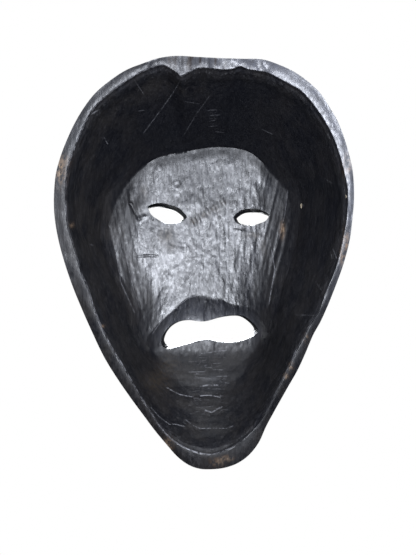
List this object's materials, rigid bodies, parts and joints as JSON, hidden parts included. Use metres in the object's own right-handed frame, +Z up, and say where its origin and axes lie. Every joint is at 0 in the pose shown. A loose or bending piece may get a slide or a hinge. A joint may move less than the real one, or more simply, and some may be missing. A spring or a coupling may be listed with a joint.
{
  "type": "carved wooden face mask",
  "caption": "Hollow carved wooden face mask with a flat back rim, almond eye holes, an open mouth and small side pegs.",
  "frame": {"origin": "on the rim's flat back face, in the middle of its width at the top of the mask", "axes": "+Z up along the mask's height, +Y out of the hollow at right angles to the rim's flat face, so the carved face looks along -Y"},
  "size_m": [0.2243, 0.1158, 0.3093],
  "materials": {
    "blackened_wood": "satin",
    "pale_peg_wood": "matte"
  },
  "bodies": {
    "root": {"mask_body": "blackened_wood", "rim_peg": "pale_peg_wood", "wall_peg": "pale_peg_wood"}
  },
  "joints": []
}
